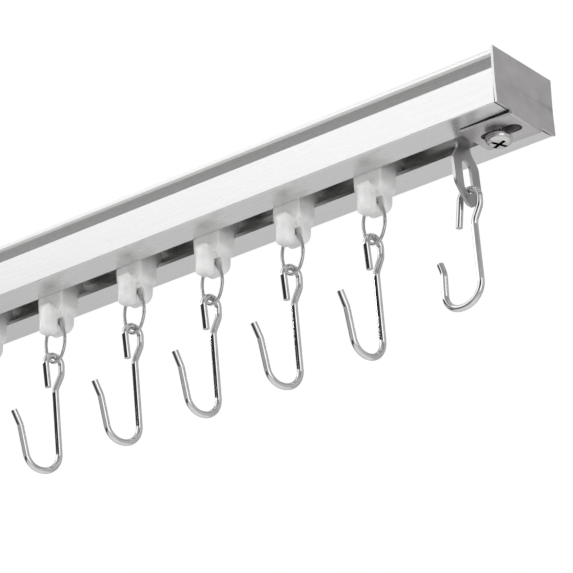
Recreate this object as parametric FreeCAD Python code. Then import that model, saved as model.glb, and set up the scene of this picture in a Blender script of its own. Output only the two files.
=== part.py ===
import FreeCAD, Part
import math
import os

# A short ceiling curtain track: an aluminium channel with a slotted underside, closed at both ends by
# folded steel brackets. Nylon runners slide in the channel, and each carries a wire ring and a wire hook.
# X runs along the track, Y from its front face to its back face, and Z up.
# The origin is the middle of the top face, which bears on the ceiling.

V = FreeCAD.Vector
MIDDLE = V(0, 0, 0)
ALONG = V(1, 0, 0)
ACROSS = V(0, 1, 0)
UP = V(0, 0, 1)

# Track section
track_length = 300.0
track_width = 28.4
track_height = 17.2
side_wall = 1.2
top_wall = 1.5
lip_wall = 1.05
slot_width = 8.1
flange_edge = 1.3
groove_depth = 1.6
groove_height = 4.45
groove_slant = 1.1
section_corner = 0.25

# Ceiling holes, in one row
ceiling_hole_radius = 2.25
ceiling_hole_count = 4
ceiling_hole_pitch = track_length / ceiling_hole_count

# End bracket, one folded sheet
bracket_sheet = 0.8
plate_rise = 0.9
plate_gap_head = 0.05
plate_gap_foot = 0.4
plate_knee_drop = 9.0
plate_knee_round = 60.0
plate_overhang = 0.2
tongue_length = 17.4
tongue_width = 15.0
tongue_tip_round = 1.0
tongue_tip_gap = 0.2
tongue_fold_gap = 0.65
fold_radius = 0.6
adjust_slot_inset = 7.7
adjust_slot_length = 13.4
adjust_slot_width = 4.8

# Clamp plate with its hanging tab, one folded sheet
tab_sheet = 0.9
tab_inset = 22.0
tab_lean_deg = 4.0
tab_bend_radius = 0.6
clamp_plate_width = 14.0
clamp_plate_inset = 2.5
tab_neck_width = 6.2
tab_neck_drop = 2.4
tab_shoulder_drop = 6.4
tab_width = 12.3
tab_cheek_drop = 14.6
tab_drop = 20.6
tab_tip_width = 3.0
tab_neck_round = 2.0
tab_shoulder_round = 3.0
tab_cheek_round = 4.0
tab_tip_round = 1.5
tab_hole_width = 4.6
tab_hole_height = 10.9
tab_rim = 3.9

# Clamp screw
screw_inset = 8.7
screw_radius = 1.5
screw_length = 7.0
screw_head_radius = 4.0
screw_head_height = 2.2
screw_head_round = 1.7
screw_slack = 1.3
screw_play = 0.05
recess_span = 5.2
recess_width = 1.1
recess_depth = 1.4
recess_turn_deg = -20.0

# Runners, counted from the right-hand end
runner_count = 7
first_runner_inset = 53.2
last_runner_inset = 60.8
runner_pitch = (track_length - first_runner_inset - last_runner_inset) / (runner_count - 1)
runner_shifts = (0.0, 0.6, 0.6, 0.5, -1.1, -0.5, 0.0)
runner_length = 10.0
runner_side_play = 0.2
runner_lift = 0.15
head_width = 13.0
head_height = 5.0
stem_drop = 6.4
stem_round = 2.6
eye_width = 7.2
eye_radius = 5.5
eye_edge = 1.2
eye_drop = 7.5
eye_forward = 1.4
eye_foot_round = 3.3
eye_head_round = 2.0
heel_round = 0.8
nose_width = 5.7
nose_reach = 6.0
nose_head_drop = 3.3
nose_foot_drop = 14.0
bar_drop = 1.6
bar_height = 3.4
bar_foot_round = 0.8
bar_play = 0.15
groove_half_top = 0.8
groove_half_foot = 1.4
groove_head = 0.3

# Rings, oval wire with a split in one flank
ring_wire = 1.0
ring_width = 7.9
ring_height = 13.6
ring_end_radius = 2.8
ring_split = 0.12
ring_split_drop = 1.1

# Hooks, all from one wire
hook_wire = 2.0
hook_play = 0.1
neck_round = 5.0
tip_round = 6.0
hook_turns_deg = (9.0, 16.0, 11.5, 14.5, 16.5, 10.0, 6.0)
runner_hook = dict(hang=0.9, loop=6.0, loop_round=2.95, cut=11.0, cut_lean=1.2, bulge=6.0, neck=11.4,
                   neck_at=0.75, length=39.1, heel_at=2.45, heel_round=6.2, bowl=11.2, toe_round=5.4,
                   leg=13.4, leg_lean=3.0, tip=17.9, tip_lean=2.3)
end_hook = dict(hang=0.0, loop=6.0, loop_round=2.95, cut=11.0, cut_lean=-1.2, bulge=5.6, neck=10.2,
                neck_at=0.9, length=35.7, heel_at=2.2, heel_round=6.6, bowl=12.1, toe_round=4.8,
                leg=11.8, leg_lean=0.1, tip=15.2, tip_lean=1.1)
end_hook_turn_deg = 95.0
end_hook_offset = 0.5
end_hook_play = 0.3

# Construction: rounding of round ends, room past a cut, and the least distance between two points
nearly_round = 0.98
cut_margin = 1.0
same_place = 1e-6

# Places that several pieces share
track_end = track_length / 2
lip_bottom = -track_height
lip_top = lip_bottom + lip_wall
eye_y = -eye_forward
eye_z = lip_bottom - eye_drop
ring_inner_end = ring_end_radius - ring_wire / 2
bar_top = eye_z - bar_drop
ring_top = bar_top + bar_play + ring_wire / 2
ring_bottom = ring_top - ring_height
ring_reach = runner_hook["loop_round"] - (hook_wire + ring_wire) / 2 - hook_play
hook_top = ring_bottom + runner_hook["loop_round"] - math.sqrt(ring_reach ** 2 - runner_hook["hang"] ** 2)
tab_hole_bottom = lip_bottom - tab_drop + tab_rim
end_hook_top = tab_hole_bottom + hook_wire / 2 + end_hook_play


def block(x_span, y_span, z_span):
    """Box between the two ends given for each axis."""
    corner = V(x_span[0], y_span[0], z_span[0])
    return Part.makeBox(x_span[1] - x_span[0], y_span[1] - y_span[0], z_span[1] - z_span[0], corner)


def corner_arc(corner, before, after, radius):
    """Start, middle and end of the arc that rounds a corner between two neighbours."""
    arrive = (corner - before).normalize()
    leave = (after - corner).normalize()
    half_turn = arrive.getAngle(leave) / 2
    setback = radius * math.tan(half_turn)
    inward = (leave - arrive).normalize()
    middle = corner + inward * (radius / math.cos(half_turn) - radius)
    return corner - arrive * setback, middle, corner + leave * setback


def rounded_wire(corners, closed=True):
    """Wire through (point, radius) corners, with a tangent arc at each corner that has a radius."""
    count = len(corners)
    edges = []
    joints = []
    for number, (point, radius) in enumerate(corners):
        inner = closed or 0 < number < count - 1
        if radius and inner:
            start, middle, end = corner_arc(point, corners[number - 1][0],
                                            corners[(number + 1) % count][0], radius)
            edges.append(Part.Arc(start, middle, end).toShape())
            joints.append((start, end))
        else:
            joints.append((point, point))
    for number in range(count if closed else count - 1):
        leave = joints[number][1]
        arrive = joints[(number + 1) % count][0]
        if leave.distanceToPoint(arrive) > same_place:
            edges.append(Part.makeLine(leave, arrive))
    return Part.Wire(Part.__sortEdges__(edges))


def prism(corners, direction):
    """Solid swept straight from a closed outline of (point, radius) corners."""
    return Part.Face(rounded_wire(corners)).extrude(direction)


def rod(path, diameter):
    """Round wire along a smooth path."""
    first = path.OrderedEdges[0]
    start = path.OrderedVertexes[0].Point
    at_start = first.valueAt(first.FirstParameter).distanceToPoint(start) < same_place
    parameter = first.FirstParameter if at_start else first.LastParameter
    outline = Part.Wire([Part.makeCircle(diameter / 2, start, first.tangentAt(parameter))])
    return path.makePipeShell([outline], True, False)


def track_outline():
    """Half section from the middle of the top face to the middle of the inner ceiling."""
    half = track_width / 2
    neck = half - groove_depth
    root = neck - groove_slant
    shoulder = -flange_edge - groove_height
    inner_shoulder = shoulder - side_wall
    return [
        (half, 0.0, section_corner),
        (half, -flange_edge, 0.0),
        (neck, -flange_edge, 0.0),
        (root, shoulder, 0.0),
        (half, shoulder, section_corner),
        (half, lip_bottom, section_corner),
        (slot_width / 2, lip_bottom, 0.0),
        (slot_width / 2, lip_top, 0.0),
        (half - side_wall, lip_top, 0.0),
        (half - side_wall, inner_shoulder, 0.0),
        (root - side_wall, inner_shoulder, 0.0),
        (neck - side_wall, -top_wall, 0.0),
    ]


def track_profile():
    """Channel with a full-width top flange, side grooves under it and two lips beside the slot."""
    half = track_outline()
    mirrored = [(-y, z, radius) for y, z, radius in reversed(half)]
    corners = [(V(-track_end, y, z), radius) for y, z, radius in half + mirrored]
    channel = prism(corners, ALONG * track_length)
    for number in range(ceiling_hole_count):
        x = (number - (ceiling_hole_count - 1) / 2) * ceiling_hole_pitch
        hole = Part.makeCylinder(ceiling_hole_radius, 3 * top_wall, V(x, 0, -2 * top_wall))
        channel = channel.cut(hole)
    return channel


def slot_cutter(x, length, width, z_span):
    """Upright cutter for a round-ended slot that runs along X."""
    half = length / 2 - width / 2
    low = z_span[0]
    height = z_span[1] - z_span[0]
    middle = block((x - half, x + half), (-width / 2, width / 2), z_span)
    ends = [Part.makeCylinder(width / 2, height, V(x + side * half, 0, low)) for side in (-1, 1)]
    return middle.fuse(ends)


def tongue_gap(x):
    """Gap between the tongue and the lips at a place along the right-hand end."""
    share = (x - track_end + tongue_length) / (tongue_length + plate_gap_foot)
    return tongue_tip_gap + share * (tongue_fold_gap - tongue_tip_gap)


def end_bracket():
    """Right-hand bracket: a plate over the track's end, folded to a tongue under the lips."""
    front = -track_width / 2 - plate_overhang
    head = track_end + plate_gap_head
    foot = track_end + plate_gap_foot
    plate = prism([
        (V(head, front, plate_rise), 0.0),
        (V(head, front, -plate_knee_drop), plate_knee_round),
        (V(foot, front, lip_bottom), 0.0),
        (V(foot + bracket_sheet, front, lip_bottom), 0.0),
        (V(head + bracket_sheet, front, -plate_knee_drop), plate_knee_round),
        (V(head + bracket_sheet, front, plate_rise), 0.0),
    ], ACROSS * -2 * front)
    half = tongue_width / 2
    tip = track_end - tongue_length
    tip_top = lip_bottom - tongue_gap(tip)
    fold_top = lip_bottom - tongue_gap(foot)
    tongue = prism([
        (V(tip, -half, tip_top), 0.0),
        (V(foot, -half, fold_top), 0.0),
        (V(foot, -half, lip_bottom), 0.0),
        (V(foot + bracket_sheet, -half, lip_bottom), 0.0),
        (V(foot + bracket_sheet, -half, fold_top - bracket_sheet), fold_radius),
        (V(tip, -half, tip_top - bracket_sheet), 0.0),
    ], ACROSS * tongue_width)
    below = fold_top - 2 * bracket_sheet
    depth = lip_bottom + bracket_sheet - below
    blank = prism([
        (V(tip, -half, below), tongue_tip_round),
        (V(tip, half, below), tongue_tip_round),
        (V(foot + bracket_sheet, half, below), 0.0),
        (V(foot + bracket_sheet, -half, below), 0.0),
    ], UP * depth)
    slot = slot_cutter(track_end - adjust_slot_inset, adjust_slot_length, adjust_slot_width,
                       (below, below + depth))
    return plate.fuse(tongue.common(blank)).cut(slot).removeSplitter()


def tab_outline(x):
    """Neck, shoulders and blunt point of the tab, as an outline across the track."""
    neck = tab_neck_width / 2
    half = tab_width / 2
    top = lip_top + 2 * tab_sheet
    foot = lip_bottom - tab_drop
    right = [
        (clamp_plate_width / 2, top, 0.0),
        (clamp_plate_width / 2, lip_top, 0.0),
        (neck, lip_top, 0.0),
        (neck, lip_bottom - tab_neck_drop, tab_neck_round),
        (half, lip_bottom - tab_shoulder_drop, tab_shoulder_round),
        (half, lip_bottom - tab_cheek_drop, tab_cheek_round),
        (tab_tip_width / 2, foot, tab_tip_round),
    ]
    left = [(-y, z, radius) for y, z, radius in reversed(right)]
    return [(V(x, y, z), radius) for y, z, radius in right + left]


def clamp_tab():
    """Right-hand clamp plate inside the channel, with its tab bent down through the slot."""
    lean = math.tan(math.radians(tab_lean_deg))
    bend = track_end - tab_inset
    plate_end = track_end - clamp_plate_inset
    plate_top = lip_top + tab_sheet
    foot = lip_bottom - tab_drop
    reach = (lip_top - foot) * lean
    rise = tab_sheet * lean
    sheet = prism([
        (V(bend - rise, -tab_width, plate_top), tab_bend_radius),
        (V(plate_end, -tab_width, plate_top), 0.0),
        (V(plate_end, -tab_width, lip_top), 0.0),
        (V(bend + tab_sheet, -tab_width, lip_top), 0.0),
        (V(bend + tab_sheet + reach, -tab_width, foot), 0.0),
        (V(bend + reach, -tab_width, foot), 0.0),
    ], ACROSS * 2 * tab_width)
    span = tab_inset + track_width
    outline = prism(tab_outline(bend - track_width), ALONG * (span + track_width))
    hole_half = tab_hole_width / 2
    hole_top = tab_hole_bottom + tab_hole_height
    x = bend - track_width
    hole = prism([
        (V(x, -hole_half, tab_hole_bottom), nearly_round * hole_half),
        (V(x, hole_half, tab_hole_bottom), nearly_round * hole_half),
        (V(x, hole_half, hole_top), nearly_round * hole_half),
        (V(x, -hole_half, hole_top), nearly_round * hole_half),
    ], ALONG * (span + track_width))
    thread = Part.makeCylinder(screw_radius + screw_play, 3 * tab_sheet,
                               V(track_end - screw_inset, 0, lip_top - tab_sheet))
    return sheet.common(outline).cut(hole).cut(thread).removeSplitter()


def clamp_screw():
    """Right-hand screw: pan head under the tongue, shank up into the clamp plate."""
    x = track_end - screw_inset
    seat = lip_bottom - tongue_gap(x + screw_head_radius) - bracket_sheet - screw_slack
    crown = seat - screw_head_height
    half_section = [
        (V(x, 0, crown), 0.0),
        (V(x + screw_head_radius, 0, crown), screw_head_round),
        (V(x + screw_head_radius, 0, seat), 0.0),
        (V(x + screw_radius, 0, seat), 0.0),
        (V(x + screw_radius, 0, seat + screw_length), 0.0),
        (V(x, 0, seat + screw_length), 0.0),
    ]
    screw = Part.Face(rounded_wire(half_section)).revolve(V(x, 0, 0), UP, 360)
    for quarter in (0, 90):
        arm = block((x - recess_span / 2, x + recess_span / 2), (-recess_width / 2, recess_width / 2),
                    (crown - cut_margin, crown + recess_depth))
        arm.rotate(V(x, 0, 0), UP, recess_turn_deg + quarter)
        screw = screw.cut(arm)
    return screw


def hook_path(form):
    """Hook wire in the plane Y = 0, level at the top with the origin and with its tip towards -X."""
    middle = -form["hang"]
    half = form["loop"] / 2
    heel = form["heel_at"]
    toe = heel - form["bowl"]
    floor = -form["length"]
    leg = toe - form["leg_lean"]
    corners = [
        (-half + form["cut_lean"], -form["cut"], 0.0),
        (-half, 0.0, form["loop_round"]),
        (half, 0.0, form["loop_round"]),
        (half, -form["bulge"], neck_round),
        (form["neck_at"], -form["neck"], neck_round),
        (heel, floor, form["heel_round"]),
        (toe, floor, form["toe_round"]),
        (leg, floor + form["leg"], tip_round),
        (leg - form["tip_lean"], floor + form["tip"], 0.0),
    ]
    return rounded_wire([(V(middle + x, 0, z), radius) for x, z, radius in corners], closed=False)


def hung_hook(form, turn_deg, place):
    """Hook turned about the vertical, with the top of its loop at a place."""
    hook = rod(hook_path(form), hook_wire)
    hook.rotate(MIDDLE, UP, turn_deg)
    hook.translate(place)
    return hook


def end_hook_piece():
    """Right-hand end hook, through the hole of the clamp's tab."""
    lean = math.tan(math.radians(tab_lean_deg))
    x = track_end - tab_inset + (lip_top - end_hook_top) * lean + tab_sheet / 2 + end_hook_offset
    return hung_hook(end_hook, end_hook_turn_deg - 90.0, V(x, 0, end_hook_top))


def ring():
    """Open oval of wire around the runner's bar, in the plane of the track's length."""
    half_width = ring_width / 2
    half_height = ring_height / 2
    rise = half_height - ring_end_radius
    flank = (half_width ** 2 + rise ** 2 - ring_end_radius ** 2) / (2 * (half_width - ring_end_radius))
    reach = flank - half_width
    bend = math.atan2(rise, reach)
    split = math.asin(ring_split_drop / flank)
    gap = ring_split / 2 / flank
    centre_z = ring_top - half_height

    def arc(x, z, radius, start, stop):
        """Arc in the ring's plane, from one angle to another."""
        angles = (start, (start + stop) / 2, stop)
        points = [V(x + radius * math.cos(a), eye_y, centre_z + z + radius * math.sin(a)) for a in angles]
        return Part.Arc(*points).toShape()

    edges = [
        arc(-reach, 0, flank, -split + gap, bend),
        arc(0, rise, ring_end_radius, bend, math.pi - bend),
        arc(reach, 0, flank, math.pi - bend, math.pi + bend),
        arc(0, -rise, ring_end_radius, math.pi + bend, 2 * math.pi - bend),
        arc(-reach, 0, flank, -bend, -split - gap),
    ]
    return rod(Part.Wire(edges), ring_wire)


def runner_heel():
    """Round heel behind the ring, flush with the stem's back."""
    half = eye_width / 2
    front = eye_y - groove_half_top
    depth = stem_back() - front
    low = eye_z - eye_radius
    high = eye_z + eye_radius
    section = [
        (V(-half, eye_y, eye_z), 0.0),
        (V(half, eye_y, eye_z), 0.0),
        (V(half, eye_y, high), eye_edge),
        (V(-half, eye_y, high), eye_edge),
    ]
    puck = Part.Face(rounded_wire(section)).revolve(V(0, eye_y, eye_z), ALONG, 360)
    plan = prism([
        (V(-half, front, low), 0.0),
        (V(half, front, low), 0.0),
        (V(half, stem_back(), low), heel_round),
        (V(-half, stem_back(), low), heel_round),
    ], UP * 2 * eye_radius)
    face = prism([
        (V(-half, front, low), eye_foot_round),
        (V(half, front, low), eye_foot_round),
        (V(half, front, high), eye_head_round),
        (V(-half, front, high), eye_head_round),
    ], ACROSS * depth)
    return puck.common(plan).common(face)


def runner_nose():
    """Upright egg before the ring: round in plan, in front view and in side view."""
    half = nose_width / 2
    bend = nearly_round * half
    front = eye_y - nose_reach
    back = front + nose_width
    low = lip_bottom - nose_foot_drop
    high = lip_bottom - nose_head_drop
    corner = V(-half, front, low)
    width = ALONG * nose_width
    depth = ACROSS * (back - front)
    height = UP * (high - low)

    def view(first, second, sweep):
        """Rounded rectangle of two of the egg's spans, swept along the third."""
        corners = (corner, corner + first, corner + first + second, corner + second)
        return prism([(point, bend) for point in corners], sweep)

    return view(width, depth, height).common(view(width, height, depth)).common(view(depth, height, width))


def ring_groove():
    """Flared gap in the eye, where the ring hangs and swings."""
    low = lip_bottom - nose_foot_drop - cut_margin
    top = ring_top + ring_wire / 2 + groove_head
    corners = [
        (V(-eye_width, eye_y - groove_half_foot, low), 0.0),
        (V(-eye_width, eye_y + groove_half_foot, low), 0.0),
        (V(-eye_width, eye_y + groove_half_top, top), nearly_round * groove_half_top),
        (V(-eye_width, eye_y - groove_half_top, top), nearly_round * groove_half_top),
    ]
    return prism(corners, ALONG * 2 * eye_width)


def ring_bar():
    """Bar across the eye's groove that carries the ring."""
    half = ring_inner_end - bar_play
    front = eye_y - 2 * groove_half_foot
    return prism([
        (V(-half, front, bar_top - bar_height), bar_foot_round),
        (V(half, front, bar_top - bar_height), bar_foot_round),
        (V(half, front, bar_top), nearly_round * half),
        (V(-half, front, bar_top), nearly_round * half),
    ], ACROSS * 4 * groove_half_foot)


def stem_back():
    """Back face of the runner's stem, with its play in the slot."""
    return slot_width / 2 - runner_side_play


def runner():
    """One moulded runner: head inside the channel, stem through the slot, eye below."""
    half = runner_length / 2
    back = stem_back()
    head_low = lip_top + runner_lift
    stem = prism([
        (V(-half, -back, lip_bottom - stem_drop), stem_round),
        (V(half, -back, lip_bottom - stem_drop), stem_round),
        (V(half, -back, head_low), 0.0),
        (V(-half, -back, head_low), 0.0),
    ], ACROSS * 2 * back)
    head = block((-half, half), (-head_width / 2, head_width / 2), (head_low, head_low + head_height))
    body = stem.fuse(head).fuse(runner_heel()).fuse(runner_nose())
    return body.cut(ring_groove()).fuse(ring_bar()).removeSplitter()


def save(name, shape):
    """Write one node."""
    shape.exportStep(os.path.join("parts", name + ".step"))


def both_ends(shape):
    """The right-hand piece and its mirror image for the left-hand end."""
    return {"right": shape, "left": shape.mirror(MIDDLE, ALONG)}


def main():
    """Build every piece in its place and write it."""
    os.makedirs("parts", exist_ok=True)
    save("track_profile", track_profile())
    for side, piece in both_ends(end_bracket()).items():
        save(side + "_end_bracket", piece)
    for side, piece in both_ends(clamp_tab()).items():
        save(side + "_clamp_tab", piece)
    for side, piece in both_ends(end_hook_piece()).items():
        save(side + "_end_hook", piece)
    save("clamp_screws", Part.makeCompound(list(both_ends(clamp_screw()).values())))
    for number in range(runner_count):
        shift = runner_shifts[number % len(runner_shifts)]
        x = track_end - first_runner_inset - number * runner_pitch + shift
        name = str(number + 1)
        slider = runner()
        slider.translate(V(x, 0, 0))
        save("runner_" + name, slider)
        oval = ring()
        oval.translate(V(x, 0, 0))
        save("ring_" + name, oval)
        turn = 90.0 - hook_turns_deg[number % len(hook_turns_deg)]
        save("hook_" + name, hung_hook(runner_hook, turn, V(x, eye_y, hook_top)))


main()
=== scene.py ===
"""Dresses the curtain track in satin aluminium, zinc plate, milky nylon and bright wire."""
import logging
import math
from dataclasses import dataclass, field
from enum import Enum
from typing import Any, Iterable, Sequence

import bpy
from mathutils import Matrix, Vector


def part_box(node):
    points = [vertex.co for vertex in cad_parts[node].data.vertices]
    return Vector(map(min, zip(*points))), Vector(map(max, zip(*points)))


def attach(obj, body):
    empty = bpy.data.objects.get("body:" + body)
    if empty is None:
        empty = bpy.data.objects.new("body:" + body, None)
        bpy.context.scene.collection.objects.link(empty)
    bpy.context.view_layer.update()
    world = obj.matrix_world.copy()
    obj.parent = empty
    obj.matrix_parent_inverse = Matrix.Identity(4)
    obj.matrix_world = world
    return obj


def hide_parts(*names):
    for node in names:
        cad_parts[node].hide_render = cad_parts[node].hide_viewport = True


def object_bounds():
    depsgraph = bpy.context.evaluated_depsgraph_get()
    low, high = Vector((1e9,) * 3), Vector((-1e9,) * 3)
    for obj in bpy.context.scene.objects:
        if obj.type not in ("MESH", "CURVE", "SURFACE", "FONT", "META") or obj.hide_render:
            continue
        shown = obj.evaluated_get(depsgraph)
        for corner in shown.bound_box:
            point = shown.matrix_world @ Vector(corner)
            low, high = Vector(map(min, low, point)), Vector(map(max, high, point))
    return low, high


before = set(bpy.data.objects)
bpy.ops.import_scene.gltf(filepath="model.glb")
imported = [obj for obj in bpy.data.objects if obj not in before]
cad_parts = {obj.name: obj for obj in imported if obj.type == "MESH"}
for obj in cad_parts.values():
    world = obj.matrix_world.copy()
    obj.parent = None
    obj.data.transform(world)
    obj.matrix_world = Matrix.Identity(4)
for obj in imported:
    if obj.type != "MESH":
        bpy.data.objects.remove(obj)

CAD_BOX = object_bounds()
MM = 0.001
log = logging.getLogger("curtain_track")

Colour = tuple[float, float, float]
Triple = tuple[float, float, float]
Pair = tuple[float, float]

WHITE: Colour = (1.0, 1.0, 1.0)
SAME_POINT = 1e-6

# Broken edges: how many faces cross one, and the least turn that counts as an edge.
EDGE_FACES = 2
SHARP_TURN = math.radians(40.0)

# The Mix node's sockets for colours go by number, because their names repeat.
MIX_SHARE, MIX_FIRST, MIX_SECOND, MIX_RESULT = 0, 6, 7, 2


class Maths(Enum):
    """Operations of the Math node that the finishes use."""

    ADD = "ADD"
    SUBTRACT = "SUBTRACT"
    MULTIPLY = "MULTIPLY"
    MAXIMUM = "MAXIMUM"
    MINIMUM = "MINIMUM"
    ABSOLUTE = "ABSOLUTE"


class SurfaceKind(Enum):
    """Surface shaders that a material can start with."""

    PRINCIPLED = "ShaderNodeBsdfPrincipled"
    EMISSION = "ShaderNodeEmission"


@dataclass(frozen=True)
class Grain:
    """A soft noise: its turns in a millimetre, its detail and roughness, and its stretch by axis."""

    scale: float
    detail: float = 3.0
    roughness: float = 0.5
    stretch: Triple = (1.0, 1.0, 1.0)


class Socket:
    """A shader value that takes Python's operators, each of which adds a Math node."""

    def __init__(self, shader: "Nodes", output: bpy.types.NodeSocket) -> None:
        """Wrap one output.

        Args:
            shader: The node tree that the output belongs to.
            output: The node's output socket.
        """
        self.shader = shader
        self.output = output

    def _with(self, kind: Maths, left: Any, right: Any) -> "Socket":
        """Return the result of a Math node on two values."""
        return self.shader.node("ShaderNodeMath", {"operation": kind.value}, {0: left, 1: right})

    def __add__(self, other: Any) -> "Socket":
        """Return self + other."""
        return self._with(Maths.ADD, self, other)

    __radd__ = __add__

    def __sub__(self, other: Any) -> "Socket":
        """Return self - other."""
        return self._with(Maths.SUBTRACT, self, other)

    def __rsub__(self, other: Any) -> "Socket":
        """Return other - self."""
        return self._with(Maths.SUBTRACT, other, self)

    def __mul__(self, other: Any) -> "Socket":
        """Return self * other."""
        return self._with(Maths.MULTIPLY, self, other)

    __rmul__ = __mul__

    def __abs__(self) -> "Socket":
        """Return the size of self."""
        return self._with(Maths.ABSOLUTE, self, 0.0)

    def sibling(self, output: str) -> "Socket":
        """Return another output of the same node, by its name."""
        return Socket(self.shader, self.output.node.outputs[output])

    def larger(self, other: Any) -> "Socket":
        """Return the larger of self and other."""
        return self._with(Maths.MAXIMUM, self, other)

    def clipped(self) -> "Socket":
        """Return self held between 0 and 1."""
        return self._with(Maths.MAXIMUM, self._with(Maths.MINIMUM, self, 1.0), 0.0)

    def mixed(self, other: "Socket", share: float) -> "Socket":
        """Return a share of self with the rest of other."""
        return self * share + other * (1.0 - share)


class Nodes:
    """A node tree under construction."""

    def __init__(self, tree: bpy.types.NodeTree) -> None:
        """Start with an empty tree.

        Args:
            tree: The tree of a material or a world.
        """
        self.tree = tree
        tree.nodes.clear()

    def node(self, kind: str, settings: dict[str, Any] | None = None,
             values: dict[Any, Any] | None = None, output: Any = 0) -> "Socket | None":
        """Add a node.

        Args:
            kind: The node's type.
            settings: Properties of the node, or a ramp's stops under "stops", set before its sockets.
            values: Numbers, colours or sockets for its inputs, by name or number.
            output: Name or number of the output to return.

        Returns:
            The node's output, ready for maths, or None from a node that has no outputs.
        """
        made = self.tree.nodes.new(kind)
        for key, value in (settings or {}).items():
            if key == "stops":
                self._set_stops(made.color_ramp, value)
            else:
                setattr(made, key, value)
        for key, value in (values or {}).items():
            self.feed(made.inputs[key], value)
        return Socket(self, made.outputs[output]) if made.outputs else None

    @staticmethod
    def _set_stops(ramp: bpy.types.ColorRamp, stops: Sequence[tuple[float, Colour]]) -> None:
        """Give a colour ramp its stops.

        Args:
            ramp: The ramp, which has at most as many stops already.
            stops: The place of each stop, from 0 to 1, and its colour.
        """
        while len(ramp.elements) < len(stops):
            ramp.elements.new(1.0)
        for element, (place, colour) in zip(ramp.elements, stops):
            element.position = place
            element.color = (*colour, 1.0)

    def feed(self, target: bpy.types.NodeSocket, value: Any) -> None:
        """Link a socket to an input, or set the input's own value.

        Args:
            target: The input.
            value: A Socket, a number, a vector or a colour.
        """
        if isinstance(value, Socket):
            self.tree.links.new(value.output, target)
        elif isinstance(value, (tuple, list)) and target.type == "RGBA":
            target.default_value = (*value[:3], 1.0)
        else:
            target.default_value = value

    def place(self, stretch: Triple = (1.0, 1.0, 1.0)) -> Socket:
        """Return the place on the piece, in millimetres times a stretch for each axis."""
        spot = self.node("ShaderNodeTexCoord", output="Object")
        return self.vector("MULTIPLY", spot, tuple(factor / MM for factor in stretch))

    def vector(self, operation: str, first: Any, second: Any = None, output: Any = 0) -> Socket:
        """Return the result of vector maths.

        Args:
            operation: The node's operation.
            first: The first vector.
            second: The second vector, where the operation has one.
            output: Name or number of the output to return.

        Returns:
            A vector, or a number from an operation such as a dot product.
        """
        values = {0: first} if second is None else {0: first, 1: second}
        return self.node("ShaderNodeVectorMath", {"operation": operation}, values, output)

    def parts(self, vector: Socket) -> tuple[Socket, Socket, Socket]:
        """Return a vector's X, Y and Z."""
        x = self.node("ShaderNodeSeparateXYZ", None, {"Vector": vector}, "X")
        return x, x.sibling("Y"), x.sibling("Z")

    def noise(self, grain: Grain) -> Socket:
        """Return soft noise between 0 and 1."""
        return self.node("ShaderNodeTexNoise", None, {
            "Vector": self.place(grain.stretch), "Scale": grain.scale,
            "Detail": grain.detail, "Roughness": grain.roughness})

    def blend(self, share: Any, first: Any, second: Any) -> Socket:
        """Mix two colours.

        Args:
            share: How far the mix goes from the first colour to the second, from 0 to 1.
            first: A colour or a socket.
            second: A colour or a socket.

        Returns:
            The mixed colour.
        """
        mixed = self.tree.nodes.new("ShaderNodeMix")
        mixed.data_type = "RGBA"
        for number, value in ((MIX_SHARE, share), (MIX_FIRST, first), (MIX_SECOND, second)):
            self.feed(mixed.inputs[number], value)
        return Socket(self, mixed.outputs[MIX_RESULT])

    def band(self, value: Socket, low: float, high: float) -> Socket:
        """Return a value stretched so that low becomes 0 and high becomes 1, held between them."""
        return self.node("ShaderNodeMapRange", {"clamp": True},
                         {"Value": value, "From Min": low, "From Max": high})

    def step(self, value: Socket, place: float, fade: float) -> Socket:
        """Return 0 below a place and 1 above it, with a fade to each side of the place."""
        return self.band(value, place - fade, place + fade)

    def bump(self, height: Socket, distance: float, strength: float) -> Socket:
        """Return normals for a height, with its distance in millimetres."""
        return self.node("ShaderNodeBump", None,
                         {"Height": height, "Distance": distance * MM, "Strength": strength}, "Normal")


class Shader(Nodes):
    """A material under construction, with one surface shader."""

    def __init__(self, name: str, surface: SurfaceKind = SurfaceKind.PRINCIPLED) -> None:
        """Start a material.

        Args:
            name: The material's name.
            surface: The kind of its surface shader.
        """
        self.material = bpy.data.materials.new(name)
        self.material.use_nodes = True
        super().__init__(self.material.node_tree)
        self.surface = self.tree.nodes.new(surface.value)
        end = self.tree.nodes.new("ShaderNodeOutputMaterial")
        self.tree.links.new(self.surface.outputs[0], end.inputs["Surface"])

    def finish(self, **values: Any) -> bpy.types.Material:
        """Feed the surface and return the material.

        Args:
            **values: Values or sockets by input name, with underscores for spaces.

        Returns:
            The finished material.
        """
        for key, value in values.items():
            self.feed(self.surface.inputs[key.replace("_", " ")], value)
        return self.material


# In the finishes, a tone or height is the named pattern's share of a mix, a gloss is what the
# pattern adds to the roughness, and relief is a bump's distance in millimetres and its strength.

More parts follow.
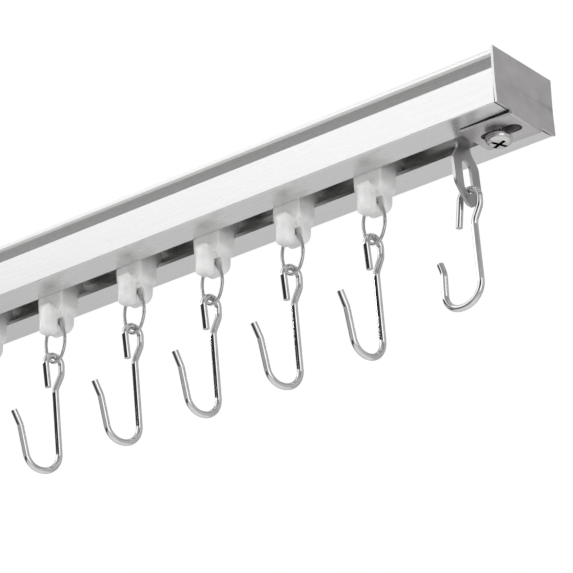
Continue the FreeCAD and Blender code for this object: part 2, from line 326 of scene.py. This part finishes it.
@dataclass(frozen=True)
class ExtrudedAluminium:
    """Satin anodised aluminium with faint die lines along it, and painted shade inside the channel.

    Sizes are in millimetres. The inside lies between the side walls, above the lips' undersides and
    below the top wall.
    """

    name: str = "satin_aluminium"
    bright: Colour = (0.93, 0.93, 0.925)
    dull: Colour = (0.88, 0.88, 0.882)
    # Painted shade: the colour of the channel's inside, where little light reaches.
    inner: Colour = (0.88, 0.88, 0.87)
    roughness: float = 0.22
    die_lines: Grain = Grain(2.6, 4.0, stretch=(0.004, 1.0, 1.0))
    scratches: Grain = Grain(9.0, 2.0, stretch=(0.02, 1.0, 1.0))
    clouds: Grain = Grain(0.03)
    line_tone: float = 0.6
    contrast: Pair = (0.35, 0.65)
    scratch_gloss: float = 0.08
    cloud_gloss: float = 0.04
    line_height: float = 0.7
    relief: Pair = (0.012, 0.5)
    side_wall: float = 1.15
    side_fade: float = 0.05
    lip_skin: float = 0.08
    lip_fade: float = 0.04
    top_wall: float = 1.3
    top_fade: float = 0.1

    def inside(self, shader: Shader) -> Socket:
        """Return the mask of the painted shade: 1 inside the channel and 0 outside.

        Args:
            shader: The material under construction.

        Returns:
            The share of the painted shade's colour.
        """
        low, high = (Vector(corner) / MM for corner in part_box("track_profile"))
        _, across, height = shader.parts(shader.place())
        between = 1.0 - shader.step(abs(across), high.y - self.side_wall, self.side_fade)
        above = shader.step(height, low.z + self.lip_skin, self.lip_fade)
        below = 1.0 - shader.step(height, high.z - self.top_wall, self.top_fade)
        return above * between * below

    def material(self) -> bpy.types.Material:
        """Make the finish.

        Returns:
            The finish as a material.
        """
        shader = Shader(self.name)
        lines = shader.noise(self.die_lines)
        scratches = shader.noise(self.scratches)
        clouds = shader.noise(self.clouds)
        tone = lines.mixed(clouds, self.line_tone).clipped()
        outer = shader.blend(shader.band(tone, *self.contrast), self.dull, self.bright)
        return shader.finish(
            # Painted shade: the inside of the channel takes the darker inner colour.
            Base_Color=shader.blend(self.inside(shader), outer, self.inner),
            Metallic=1.0,
            Roughness=self.roughness + scratches * self.scratch_gloss + clouds * self.cloud_gloss,
            Normal=shader.bump(lines.mixed(scratches, self.line_height), *self.relief))


@dataclass(frozen=True)
class ZincPlate:
    """Dull zinc plate with a faint mauve cast and a cloudy surface."""

    name: str = "zinc_plate"
    light: Colour = (0.76, 0.735, 0.75)
    dark: Colour = (0.64, 0.612, 0.63)
    roughness: float = 0.28
    clouds: Grain = Grain(0.16, 5.0, 0.6)
    grain: Grain = Grain(3.5)
    brushing: Grain = Grain(5.0, 2.0, stretch=(1.0, 0.05, 1.0))
    cloud_tone: float = 0.7
    contrast: Pair = (0.36, 0.64)
    cloud_gloss: float = 0.12
    grain_gloss: float = 0.05
    brush_height: float = 0.6
    relief: Pair = (0.01, 0.4)

    def with_painted_light_and_shade(self, shader: Shader, colour: Socket) -> Socket:
        """Return the plate's colour with any painted light and shade laid on it.

        Args:
            shader: The material under construction; not used here.
            colour: The plate's own colour.

        Returns:
            The colour with its painted light and shade; plain plate has none.
        """
        return colour

    def material(self) -> bpy.types.Material:
        """Make the finish.

        Returns:
            The finish as a material.
        """
        shader = Shader(self.name)
        clouds = shader.noise(self.clouds)
        grain = shader.noise(self.grain)
        brushing = shader.noise(self.brushing)
        tone = clouds.mixed(grain, self.cloud_tone).clipped()
        colour = shader.blend(shader.band(tone, *self.contrast), self.dark, self.light)
        return shader.finish(
            Base_Color=self.with_painted_light_and_shade(shader, colour),
            Metallic=1.0,
            Roughness=self.roughness + (1.0 - clouds) * self.cloud_gloss + grain * self.grain_gloss,
            Normal=shader.bump(brushing.mixed(grain, self.brush_height), *self.relief))


@dataclass(frozen=True)
class FlankLitPlate(ZincPlate):
    """Plated sheet with painted light on whatever faces across the track, so that its flanks show
    brighter than its faces.
    """

    # Painted highlight: the colour of the faces that look across the track.
    painted_flank_light: Colour = (0.97, 0.965, 0.965)
    facing: float = 0.955
    facing_fade: float = 0.025

    def with_painted_light_and_shade(self, shader: Shader, colour: Socket) -> Socket:
        """Paint light on what faces across the track.

        Args:
            shader: The material under construction.
            colour: The plate's own colour.

        Returns:
            The colour, with painted light on the flanks.
        """
        normal = shader.node("ShaderNodeTexCoord", output="Normal")
        across = abs(shader.parts(normal)[1])
        return shader.blend(shader.step(across, self.facing, self.facing_fade), colour, self.painted_flank_light)


@dataclass(frozen=True)
class RecessedPlate(ZincPlate):
    """Plated screw with painted shade in the recess of each head.

    Sizes are in millimetres, and depths go up from the head's crown. The fade of the reach is in
    square millimetres.
    """

    # Painted shade: the colour of the recess.
    painted_recess_shade: Colour = (0.1, 0.1, 0.1)
    head_radius: float = 4.0
    reach: float = 2.571
    reach_fade: float = 0.15
    mouth: float = 0.146
    mouth_fade: float = 0.075
    floor: float = 1.571
    floor_fade: float = 0.05

    def with_painted_light_and_shade(self, shader: Shader, colour: Socket) -> Socket:
        """Paint shade into the recess of each head.

        Args:
            shader: The material under construction.
            colour: The plate's own colour.

        Returns:
            The colour, dark in the recesses.
        """
        low, high = (Vector(corner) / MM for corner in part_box("clamp_screws"))
        along, across, height = shader.parts(shader.place())
        away = abs(along) - (high.x - self.head_radius)
        far = shader.step(away * away + across * across, self.reach ** 2, self.reach_fade)
        above = shader.step(height, low.z + self.mouth, self.mouth_fade)
        below = 1.0 - shader.step(height, low.z + self.floor, self.floor_fade)
        return shader.blend((1.0 - far) * above * below, colour, self.painted_recess_shade)


@dataclass(frozen=True)
class MouldedNylon:
    """Milky moulded nylon with a soft gloss, into which light goes a millimetre or so."""

    name: str = "milky_nylon"
    light: Colour = (0.88, 0.885, 0.87)
    shade: Colour = (0.78, 0.785, 0.775)
    roughness: float = 0.22
    flow: Grain = Grain(0.22)
    skin: Grain = Grain(6.0, 2.0)
    contrast: Pair = (0.35, 0.65)
    flow_gloss: float = 0.08
    skin_gloss: float = 0.05
    relief: Pair = (0.008, 0.4)
    specular: float = 1.0
    scatter: float = 0.35
    scatter_colour: Colour = (1.0, 1.0, 0.9)
    scatter_depth: float = 1.5

    def material(self) -> bpy.types.Material:
        """Make the finish.

        Returns:
            The finish as a material.
        """
        shader = Shader(self.name)
        flow = shader.noise(self.flow)
        skin = shader.noise(self.skin)
        return shader.finish(
            Base_Color=shader.blend(shader.band(flow, *self.contrast), self.shade, self.light),
            Metallic=0.0,
            Roughness=self.roughness + flow * self.flow_gloss + skin * self.skin_gloss,
            Normal=shader.bump(skin, *self.relief),
            Specular_IOR_Level=self.specular,
            Subsurface_Weight=self.scatter,
            Subsurface_Radius=self.scatter_colour,
            Subsurface_Scale=self.scatter_depth * MM)


@dataclass(frozen=True)
class BrightWire:
    """Plated bright wire with faint drawing marks."""

    name: str = "bright_wire"
    light: Colour = (0.86, 0.86, 0.865)
    dark: Colour = (0.7, 0.7, 0.71)
    roughness: float = 0.035
    marks: Grain = Grain(4.0, stretch=(1.0, 1.0, 0.12))
    clouds: Grain = Grain(0.35)
    mark_tone: float = 0.5
    contrast: Pair = (0.35, 0.65)
    cloud_gloss: float = 0.03
    mark_gloss: float = 0.02
    relief: Pair = (0.006, 0.03)

    def material(self) -> bpy.types.Material:
        """Make the finish.

        Returns:
            The finish as a material.
        """
        shader = Shader(self.name)
        marks = shader.noise(self.marks)
        clouds = shader.noise(self.clouds)
        tone = marks.mixed(clouds, self.mark_tone).clipped()
        return shader.finish(
            Base_Color=shader.blend(shader.band(tone, *self.contrast), self.dark, self.light),
            Metallic=1.0,
            Roughness=self.roughness + clouds * self.cloud_gloss + marks * self.mark_gloss,
            Normal=shader.bump(marks, *self.relief))


def numbered(kind: str) -> list[str]:
    """Return the CAD nodes of one kind, such as ring_1 and ring_2 for ring."""
    return sorted(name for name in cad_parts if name.startswith(kind + "_"))


def dress(names: Iterable[str], material: bpy.types.Material) -> None:
    """Give CAD nodes one material.

    Args:
        names: The nodes' names.
        material: What they are made of.
    """
    for name in names:
        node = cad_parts[name]
        for slot in node.material_slots:
            slot.material = material
        if not node.material_slots:
            node.data.materials.append(material)


def soften_edges(name: str, width: float) -> None:
    """Break a CAD node's sharp edges so that they catch the light.

    Args:
        name: The node's name.
        width: Width of the broken edge, in millimetres.
    """
    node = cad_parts[name]
    weld = node.modifiers.new("weld", "WELD")
    weld.merge_threshold = SAME_POINT
    bevel = node.modifiers.new("edges", "BEVEL")
    bevel.width = width * MM
    bevel.segments = EDGE_FACES
    bevel.limit_method = "ANGLE"
    bevel.angle_limit = SHARP_TURN
    bevel.harden_normals = True


@dataclass
class Carrier:
    """The channel with its end brackets, clamp tabs and screws."""

    channel: ExtrudedAluminium = field(default_factory=ExtrudedAluminium)
    # Painted light: both sheets are brighter on the faces that look across the track.
    sheet: ZincPlate = field(default_factory=FlankLitPlate)
    # Painted shade: the tab's plate is a darker copy of the sheet's zinc, standing in for the shade
    # where the tab hangs.
    tab: ZincPlate = field(default_factory=lambda: FlankLitPlate(
        "painted_shade_zinc", (0.56, 0.545, 0.55), (0.45, 0.435, 0.442), 0.3))
    screw: ZincPlate = field(default_factory=lambda: RecessedPlate(
        "bright_zinc", (0.84, 0.835, 0.82), (0.72, 0.715, 0.705), 0.12))
    channel_edge: float = 0.1
    sheet_edge: float = 0.12

    def build(self) -> None:
        """Dress the channel and what is fixed to it."""
        dress(["track_profile"], self.channel.material())
        soften_edges("track_profile", self.channel_edge)
        sheet = self.sheet.material()
        tab = self.tab.material()
        for side in ("right", "left"):
            dress([side + "_end_bracket"], sheet)
            dress([side + "_clamp_tab"], tab)
            for part in ("_end_bracket", "_clamp_tab"):
                soften_edges(side + part, self.sheet_edge)
        dress(["clamp_screws"], self.screw.material())


@dataclass
class Runners:
    """The nylon runners, whose moulded forms flow into each other.

    The voxel is in millimetres. More rounds of smoothing would close the gap between bar and ring.
    """

    finish: MouldedNylon = field(default_factory=MouldedNylon)
    voxel: float = 0.2
    rounds: int = 12
    pull: float = 0.5

    def moulded(self, pattern: bpy.types.Object) -> bpy.types.Object:
        """Return a copy of a runner with every edge run soft.

        Args:
            pattern: The CAD node to copy.

        Returns:
            The soft copy, in the same place.
        """
        bpy.ops.object.select_all(action="DESELECT")
        copy = bpy.data.objects.new("moulding", pattern.data.copy())
        bpy.context.scene.collection.objects.link(copy)
        bpy.context.view_layer.objects.active = copy
        copy.select_set(True)
        copy.data.materials.clear()
        bpy.ops.object.mode_set(mode="EDIT")
        bpy.ops.mesh.select_all(action="SELECT")
        bpy.ops.mesh.remove_doubles(threshold=SAME_POINT)
        bpy.ops.object.mode_set(mode="OBJECT")
        remesh = copy.modifiers.new("skin", "REMESH")
        remesh.mode = "VOXEL"
        remesh.voxel_size = self.voxel * MM
        smooth = copy.modifiers.new("flow", "SMOOTH")
        smooth.factor = self.pull
        smooth.iterations = self.rounds
        bpy.ops.object.modifier_apply(modifier="skin")
        bpy.ops.object.modifier_apply(modifier="flow")
        bpy.ops.object.shade_smooth()
        return copy

    def build(self) -> None:
        """Mould the first runner, and set a copy in each other runner's place."""
        nylon = self.finish.material()
        nodes = numbered("runner")
        first = self.moulded(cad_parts[nodes[0]])
        first.data.materials.append(nylon)
        start = Vector(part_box(nodes[0])[0])
        for node in nodes:
            runner = first
            if node != nodes[0]:
                runner = bpy.data.objects.new(node, first.data.copy())
                bpy.context.scene.collection.objects.link(runner)
                runner.data.transform(Matrix.Translation(Vector(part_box(node)[0]) - start))
            runner.name = "moulded_" + node
            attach(runner, node)
            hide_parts(node)


@dataclass
class Wires:
    """The rings of thin wire and the hooks of bright wire."""

    thick: BrightWire = field(default_factory=BrightWire)
    thin: BrightWire = field(default_factory=lambda: BrightWire(
        "thin_wire", (0.68, 0.68, 0.685), (0.5, 0.5, 0.51)))

    def build(self) -> None:
        """Dress the rings and hooks."""
        dress(numbered("ring"), self.thin.material())
        dress(numbered("hook") + ["right_end_hook", "left_end_hook"], self.thick.material())


@dataclass(frozen=True)
class Sector:
    """A field of one grey in the reflecting tent, between two heights.

    Angles are in degrees: azimuth from +X towards +Y, heights above the horizon, and soft is how
    wide its edges fade.
    """

    azimuth: float
    half_width: float
    low: float
    high: float
    grey: float
    soft: float

    def edges(self, angle: float) -> Pair:
        """Return where a fade about an angle begins and ends, in degrees."""
        return angle - self.soft / 2, angle + self.soft / 2


@dataclass
class Tent:
    """Tent around the set whose greys are seen only in gloss.

    The heights are sines of the angle above the horizon, each with its grey.
    """

    sectors: tuple[Sector, ...] = (
        # Dark fields for the stripes in the left halves of the shanks and in the wire's lower curves.
        Sector(-120.0, 76.0, 8.0, 22.0, 0.04, 3.0),
        Sector(-128.0, 46.0, -28.0, -9.0, 0.06, 5.0),
        # White screens that the front face and the left sides of the shanks show.
        Sector(-132.0, 28.0, 21.0, 70.0, 1.25, 2.0),
        Sector(-182.0, 22.0, 25.5, 70.0, 1.25, 2.5),
        # A low white screen for the light stripe right of each shank's middle.
        Sector(-31.0, 17.0, -15.0, 25.0, 1.35, 4.0),
        # Middle greys that the end plates and the right sides of the shanks show.
        Sector(12.0, 24.0, 0.0, 26.0, 0.6, 6.0),
        Sector(52.0, 24.0, 5.0, 34.0, 0.5, 4.0),
    )
    heights: tuple[Pair, ...] = (
        (-1.0, 0.8), (-0.62, 0.74), (-0.42, 0.52), (-0.2, 0.48), (0.0, 0.42), (0.12, 0.42), (0.3, 0.42),
        (0.6, 0.3), (1.0, 0.5))
    radius: float = 3.0
    segments: int = 48
    rings: int = 24

    @staticmethod
    def share(shader: Shader, flat: Socket, height: Socket, sector: Sector) -> Socket:
        """Return how far a direction lies inside a sector.

        Args:
            shader: The tent's material.
            flat: The direction, made level.
            height: The sine of its angle above the horizon.
            sector: The sector.

        Returns:
            The share, from 0 outside to 1 inside.
        """
        turn = math.radians(sector.azimuth)
        toward = (math.cos(turn), math.sin(turn), 0.0)
        facing = shader.vector("DOT_PRODUCT", flat, toward, "Value")
        inner, outer = (math.cos(math.radians(angle)) for angle in sector.edges(sector.half_width))
        foot = [math.sin(math.radians(angle)) for angle in sector.edges(sector.low)]
        head = [math.sin(math.radians(angle)) for angle in sector.edges(sector.high)]
        above = shader.band(height, *foot)
        below = 1.0 - shader.band(height, *head)
        return shader.band(facing, outer, inner) * above * below

    def glow(self, shader: Shader) -> Socket:
        """Return the grey of each direction.

        Args:
            shader: The tent's material.

        Returns:
            The greys by height, with the sectors laid over them in order.
        """
        place = shader.place()
        flat = shader.vector("NORMALIZE", shader.vector("MULTIPLY", place, (1.0, 1.0, 0.0)))
        height = shader.parts(shader.vector("NORMALIZE", place))[2]
        stops = [((sine + 1.0) / 2, (grey, grey, grey)) for sine, grey in self.heights]
        glow = shader.node("ShaderNodeValToRGB", {"stops": stops}, {"Fac": (height + 1.0) * 0.5})
        for sector in self.sectors:
            glow = shader.blend(self.share(shader, flat, height, sector), glow, (sector.grey,) * 3)
        return glow

    def build(self) -> None:
        """Set up the tent."""
        bpy.ops.mesh.primitive_uv_sphere_add(
            segments=self.segments, ring_count=self.rings, radius=self.radius)
        tent = bpy.context.object
        tent.name = "tent"
        shader = Shader("tent", SurfaceKind.EMISSION)
        tent.data.materials.append(shader.finish(Color=self.glow(shader), Strength=1.0))
        tent.visible_camera = False
        tent.visible_diffuse = False
        tent.visible_shadow = False
        tent.visible_transmission = False


@dataclass(frozen=True)
class Lamp:
    """A soft square lamp that faces the track's middle, with its place from there in metres."""

    name: str
    place: Triple
    side: float
    watts: float
    seen_in_gloss: bool = False

    def build(self, middle: Vector) -> None:
        """Hang the lamp.

        Args:
            middle: The track's middle.
        """
        data = bpy.data.lights.new(self.name, "AREA")
        data.shape = "SQUARE"
        data.size = self.side
        data.energy = self.watts
        lamp = bpy.data.objects.new(self.name, data)
        bpy.context.scene.collection.objects.link(lamp)
        lamp.location = middle + Vector(self.place)
        lamp.rotation_mode = "QUATERNION"
        lamp.rotation_quaternion = (middle - lamp.location).to_track_quat("-Z", "Y")
        lamp.visible_glossy = self.seen_in_gloss


@dataclass
class Studio:
    """White room, soft lamps, floor and the camera below the track; sizes in metres.

    The eye and its directions to the right and up are those of the photograph, and the lens and
    the sensor are in millimetres.
    """

    eye: Triple = (0.615911, -0.710571, -0.458178)
    right: Triple = (0.7788, 0.6264, -0.034)
    up: Triple = (0.2873, -0.3079, 0.907)
    lens: float = 210.97
    sensor: float = 36.0
    clip: Pair = (0.01, 50.0)
    floor_drop: float = 0.6
    floor_size: float = 6.0
    floor_tone: Colour = (0.86, 0.86, 0.86)
    ambient: float = 0.6
    lamps: tuple[Lamp, ...] = (
        Lamp("key", (-0.8, -0.88, 0.5), 0.5, 6.0),
        Lamp("fill", (1.15, -0.5, 0.1), 0.5, 4.5),
        Lamp("glint", (-1.2, -0.35, 0.55), 0.16, 1.0, seen_in_gloss=True),
    )

    def camera(self) -> None:
        """Place the camera at the photograph's viewpoint."""
        data = bpy.data.cameras.new("camera")
        data.lens = self.lens
        data.sensor_width = self.sensor
        data.clip_start, data.clip_end = self.clip
        camera = bpy.data.objects.new("camera", data)
        bpy.context.scene.collection.objects.link(camera)
        right = Vector(self.right).normalized()
        back = right.cross(Vector(self.up)).normalized()
        turn = Matrix((right, back.cross(right), back)).transposed().to_4x4()
        camera.matrix_world = Matrix.Translation(Vector(self.eye)) @ turn
        bpy.context.scene.camera = camera

    def world(self) -> None:
        """Set a room that is white for the camera, gloss and clear things, and softer as light."""
        world = bpy.data.worlds.new("room")
        bpy.context.scene.world = world
        world.use_nodes = True
        nodes = Nodes(world.node_tree)
        rays = nodes.node("ShaderNodeLightPath", output="Is Camera Ray")
        seen = rays.larger(rays.sibling("Is Glossy Ray")).larger(rays.sibling("Is Transmission Ray"))
        white = nodes.node("ShaderNodeBackground", None, {"Color": WHITE, "Strength": 1.0})
        soft = nodes.node("ShaderNodeBackground", None, {"Color": WHITE, "Strength": self.ambient})
        mixed = nodes.node("ShaderNodeMixShader", None, {0: seen, 1: soft, 2: white})
        nodes.node("ShaderNodeOutputWorld", None, {"Surface": mixed})

    def floor(self) -> None:
        """Lay a pale floor under the track that is clear from below and in gloss."""
        bpy.ops.mesh.primitive_plane_add(size=self.floor_size, location=(0.0, 0.0, -self.floor_drop))
        floor = bpy.context.object
        floor.name = "floor"
        material = bpy.data.materials.new("pale_floor")
        material.use_nodes = True
        nodes = Nodes(material.node_tree)
        behind = nodes.node("ShaderNodeNewGeometry", output="Backfacing")
        unseen = behind.larger(nodes.node("ShaderNodeLightPath", output="Is Glossy Ray"))
        paint = nodes.node("ShaderNodeBsdfDiffuse", None, {"Color": self.floor_tone})
        clear = nodes.node("ShaderNodeBsdfTransparent")
        mixed = nodes.node("ShaderNodeMixShader", None, {0: unseen, 1: paint, 2: clear})
        nodes.node("ShaderNodeOutputMaterial", None, {"Surface": mixed})
        floor.data.materials.append(material)

    def build(self) -> None:
        """Set up the room."""
        low, high = CAD_BOX
        middle = (Vector(low) + Vector(high)) / 2
        self.camera()
        self.world()
        self.floor()
        for lamp in self.lamps:
            lamp.build(middle)


def main() -> None:
    """Build the scene in order."""
    logging.basicConfig(level=logging.INFO)
    bpy.context.scene.view_settings.view_transform = "Standard"
    bpy.ops.object.select_all(action="DESELECT")
    for part in (Studio(), Tent(), Carrier(), Runners(), Wires()):
        part.build()
        log.info("%s done", type(part).__name__)


if __name__ == "__main__":
    main()
